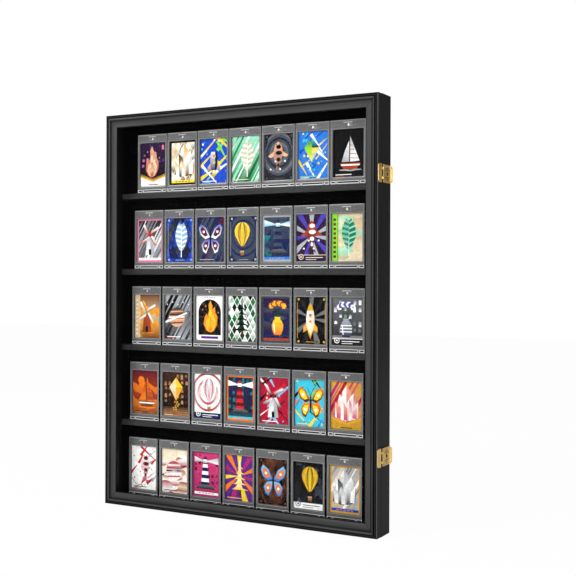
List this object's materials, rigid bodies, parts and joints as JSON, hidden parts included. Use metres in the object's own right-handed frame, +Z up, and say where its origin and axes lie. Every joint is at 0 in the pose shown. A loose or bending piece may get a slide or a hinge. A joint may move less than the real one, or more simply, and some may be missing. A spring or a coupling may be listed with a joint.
{
  "type": "trading card display case",
  "caption": "Shallow black wall display case with shelves of clear card holders behind a hinged, brass-latched glazed door.",
  "frame": {"origin": "centre of the flat back that lies against the wall", "axes": "+X to the right seen from the front, +Y towards the wall, +Z up; the door faces -Y"},
  "size_m": [0.6193, 0.06, 0.8],
  "materials": {
    "black_wood": "satin black paint",
    "back_board": "matte black",
    "felt": "black felt",
    "beech": "bare wood",
    "clear_acrylic": "polished clear",
    "holder_plastic": "clear grey plastic",
    "card_print": "glossy printed card",
    "bright_steel": "bright",
    "brass": "polished"
  },
  "bodies": {
    "case": {"side_board_left": "black_wood", "side_board_right": "black_wood", "top_board": "black_wood", "bottom_board": "black_wood", "shelf_1": "black_wood", "shelf_2": "black_wood", "shelf_3": "black_wood", "shelf_4": "black_wood", "back_panel": "back_board", "felt_lining": "felt", "corner_dowels": "beech", "holder_fronts_row_1": "holder_plastic", "holder_fronts_row_2": "holder_plastic", "holder_fronts_row_3": "holder_plastic", "holder_fronts_row_4": "holder_plastic", "holder_fronts_row_5": "holder_plastic", "holder_backs_row_1": "holder_plastic", "holder_backs_row_2": "holder_plastic", "holder_backs_row_3": "holder_plastic", "holder_backs_row_4": "holder_plastic", "holder_backs_row_5": "holder_plastic", "cards_row_1": "card_print", "cards_row_2": "card_print", "cards_row_3": "card_print", "cards_row_4": "card_print", "cards_row_5": "card_print", "holder_magnets": "bright_steel", "holder_keepers": "bright_steel", "hanger_strap_left": "bright_steel", "hanger_strap_right": "bright_steel", "hanger_screws": "bright_steel", "hinge_upper_case_leaf": "brass", "hinge_upper_pin": "brass", "hinge_lower_case_leaf": "brass", "hinge_lower_pin": "brass", "hinge_screws_in_case": "brass", "latch_upper_catch": "brass", "latch_lower_catch": "brass", "latch_screws_in_case": "brass"},
    "door": {"door_stile_left": "black_wood", "door_stile_right": "black_wood", "door_rail_top": "black_wood", "door_rail_bottom": "black_wood", "mitre_keys": "beech", "window_panel": "clear_acrylic", "glazing_strip_left": "black_wood", "glazing_strip_right": "black_wood", "glazing_strip_top": "black_wood", "glazing_strip_bottom": "black_wood", "hinge_upper_door_leaf": "brass", "hinge_lower_door_leaf": "brass", "hinge_screws_in_door": "brass", "latch_upper_plate": "brass", "latch_lower_plate": "brass", "latch_upper_pins": "brass", "latch_lower_pins": "brass", "latch_screws_in_door": "brass"},
    "upper_latch": {"latch_upper_tongue": "brass"},
    "lower_latch": {"latch_lower_tongue": "brass"}
  },
  "joints": [
    {"name": "door_hinge", "type": "hinge", "parent": "case", "child": "door", "pos_m": [-0.3068, -0.0417, 0], "axis": [0, 0, -1], "range_deg": [0, 180]},
    {"name": "upper_latch_hinge", "type": "hinge", "parent": "door", "child": "upper_latch", "pos_m": [0.3063, -0.0417, 0.256], "axis": [0, 0, -1], "range_deg": [0, 165]},
    {"name": "lower_latch_hinge", "type": "hinge", "parent": "door", "child": "lower_latch", "pos_m": [0.3063, -0.0417, -0.256], "axis": [0, 0, -1], "range_deg": [0, 165]}
  ]
}
